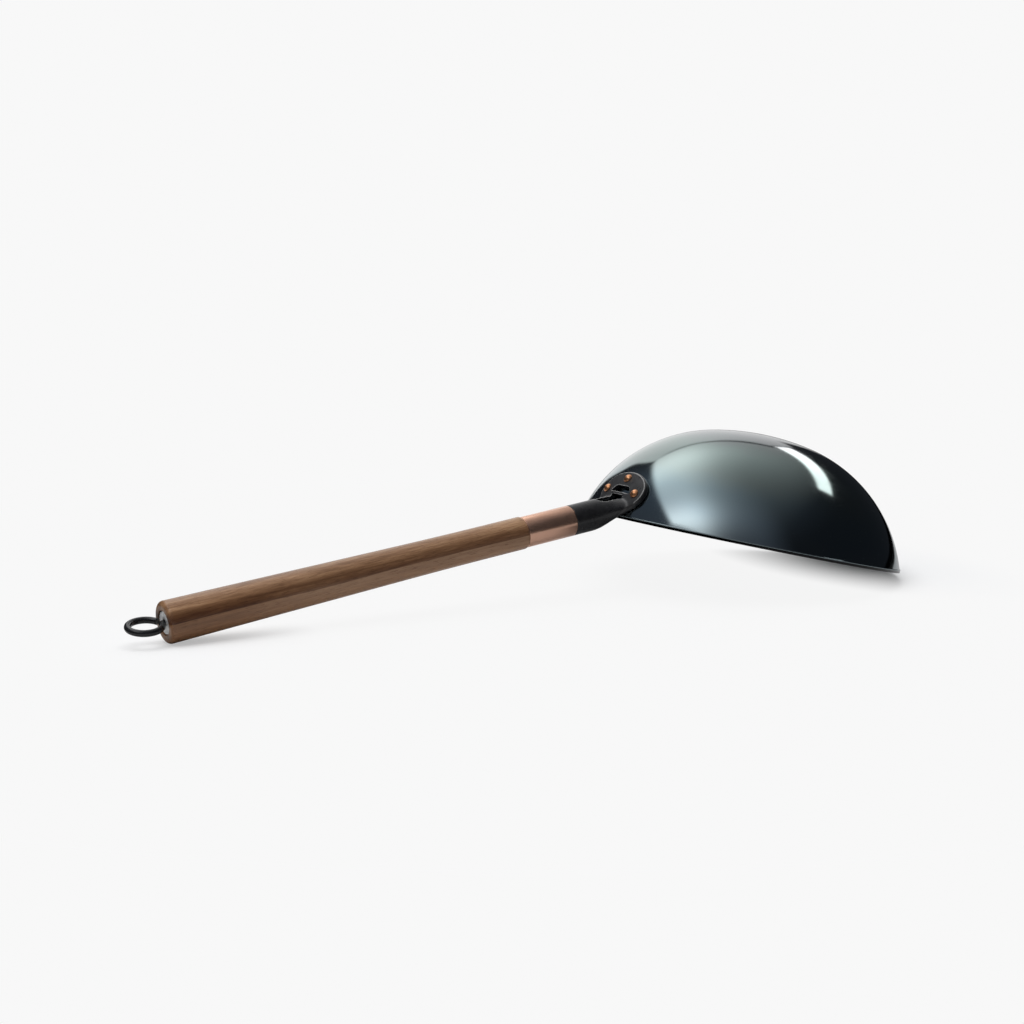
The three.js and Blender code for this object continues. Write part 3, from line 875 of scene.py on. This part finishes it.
# Studio
# A dark room with a large lit scrim overhead, a white backdrop and one narrow strip light,
# and a broad lamp above and a small one beside the butt for the matt surfaces.
studio = bpy.data.worlds.new("studio")
bpy.context.scene.world = studio
studio.use_nodes = True
lowest = 0.02
straight_behind = 0.05
scrim_light = 1.1
scrim_depth = 0.55
scrim_falloff = 5.0
strip_light = 2.85
white_light = (1, 1, 1, 1)
dusk_blue = (0.86, 0.96, 1.18, 1)


class Room(Finish):
    """The same node tools on the world's own tree."""

    def __init__(self, world):
        self.nodes = world.node_tree.nodes
        self.links = world.node_tree.links


room = Room(studio)
east, north, up = room.split(room.node("TexCoord").outputs["Generated"])
ceiling = room.calc("MAXIMUM", up, lowest)
over_x = room.calc("DIVIDE", east, ceiling)
over_y = room.calc("DIVIDE", north, ceiling)


def line(x_part, y_part, offset):
    """How far a point of the ceiling lies from a straight line."""
    return room.plus(room.times(over_x, x_part), room.times(over_y, y_part), offset)


from_edge = line(0.733, -0.68, 0.7485)
along_edge = line(0.68, 0.733, -0.964)


def hump(centre, width, height):
    """A smooth bump of light along the scrim's edge."""
    off = room.calc("DIVIDE", room.minus(along_edge, centre), width)
    return room.times(room.calc("EXPONENT", room.times(off, off, -1.0)), height)


def shone(colour, strength, made):
    """A background of a colour and a strength, in a node that is given."""
    room.feed(made.inputs["Color"], colour)
    room.feed(made.inputs["Strength"], strength)
    return made.outputs[0]


crest = room.plus(
    hump(centre=-0.36, width=0.42, height=0.9),
    hump(centre=-1.55, width=0.30, height=1.25),
    scrim_light,
)
inward = room.calc("DIVIDE", room.calc("MAXIMUM", from_edge, 0.0), scrim_depth)
falloff = room.calc("DIVIDE", 1.0, room.plus(1.0, room.calc("POWER", inward, scrim_falloff)))
haze = room.times(
    room.rise(from_edge, 0.3, 0.8),
    room.fall(from_edge, 0.9, 1.7),
    room.remap(along_edge, (-1.7, 0.1), (0.03, 0.33)),
)
scrim_front = room.rise(from_edge, -0.10, 0.01)
scrim_back = room.fall(line(0.187, 1.0, -1.295), -0.05, 0.03)
scrim_end = room.rise(along_edge, -2.5, -1.8)
cut_corner = room.plus(from_edge, room.times(room.plus(along_edge, 1.62), 1.4))
scrim_corner = room.rise(cut_corner, -0.05, 0.05)
over_horizon = room.rise(up, 0.05, 0.12)
scrim = room.times(
    room.plus(room.times(crest, falloff), haze),
    scrim_front, scrim_back, scrim_end, scrim_corner, over_horizon,
)
aside = room.calc("DIVIDE", east, room.calc("MAXIMUM", north, straight_behind))
backdrop_tone = room.remap(aside, (0.40, 1.15), (0.975, 0.58))
left_lean = room.plus(
    room.remap(up, (0.0, 0.35), (-0.155, 0.0)),
    room.remap(up, (0.35, 0.60), (0.0, 0.09)),
)
backdrop_left = room.rise(room.plus(aside, left_lean), 0.175, 0.215)
right_lean = room.remap(up, (0.18, 0.33), (0.0, 0.15))
backdrop_right = room.fall(room.minus(aside, right_lean), 0.90, 0.96)
backdrop_side = room.rise(north, 0.02, 0.08)
top_slope = room.plus(room.times(aside, 0.09), room.remap(aside, (0.5, 1.0), (0.0, 0.04)))
backdrop_top = room.fall(room.plus(up, top_slope), 0.606, 0.658)
backdrop = room.times(backdrop_tone, backdrop_left, backdrop_right, backdrop_side, backdrop_top)
strip_left = room.rise(line(1.0, -0.25, -1.05), -0.03, 0.03)
strip_right = room.fall(line(1.0, -0.33, -1.35), -0.03, 0.03)
strip_near_end = room.rise(over_y, -0.06, -0.01)
strip_far_end = room.rise(aside, 1.08, 1.16)
strip_foot = room.rise(up, 0.15, 0.25)
strip = room.times(strip_light, strip_left, strip_right, strip_near_end, strip_far_end, strip_foot)
west_glow = room.times(room.remap(east, (-0.2, 0.25), (0.08, 0.0)), room.rise(up, 0.2, 0.5))
glow = room.plus(room.remap(up, (0.55, 0.90), (0.018, 0.045)), west_glow)
both = room.node("AddShader")
room.feed(both.inputs[0], shone(white_light, room.plus(scrim, backdrop, strip), room.nodes["Background"]))
room.feed(both.inputs[1], shone(dusk_blue, glow, room.node("Background")))
to_camera = room.node("LightPath").outputs["Is Camera Ray"]
white = shone(even_white, 1.0, room.node("Background"))
room.feed(room.nodes["World Output"].inputs["Surface"], either(room, to_camera, both.outputs[0], white))


def hang(name, spot, size, energy):
    """An area lamp for the matt surfaces, which shows neither in mirrors nor to the camera."""
    bpy.ops.object.light_add(type="AREA", location=spot)
    made = bpy.context.object
    made.name = name
    made.data.size = size
    made.data.energy = energy
    made.visible_glossy = False
    made.visible_camera = False
    return made


def aim(thing, target):
    """Turn a lamp or the camera to face a point."""
    thing.rotation_euler = (Vector(target) - thing.location).to_track_quat("-Z", "Y").to_euler()


overhead_lamp = hang("overhead_lamp", spot=(-0.25, 0.1, 2.2), size=2.2, energy=31)
overhead_lamp.data.shape = "RECTANGLE"
overhead_lamp.data.size_y = 1.8
side_lamp = hang("side_lamp", spot=(-1.3, -0.35, 0.30), size=0.5, energy=1.0)
aim(side_lamp, (-0.37, 0, 0.02))


# Camera
# A long lens, low and to the side of the handle, as in the photo.
camera_spot = (-1.07314, -1.73905, 0.39898)
picture_middle = (-0.016955, 0.000289, 0.08296)
bpy.ops.object.camera_add(location=camera_spot)
camera = bpy.context.object
aim(camera, picture_middle)
camera.data.sensor_width = 36
camera.data.lens = 81.292
camera.data.clip_end = 100
bpy.context.scene.camera = camera
bpy.context.scene.view_settings.view_transform = "Standard"
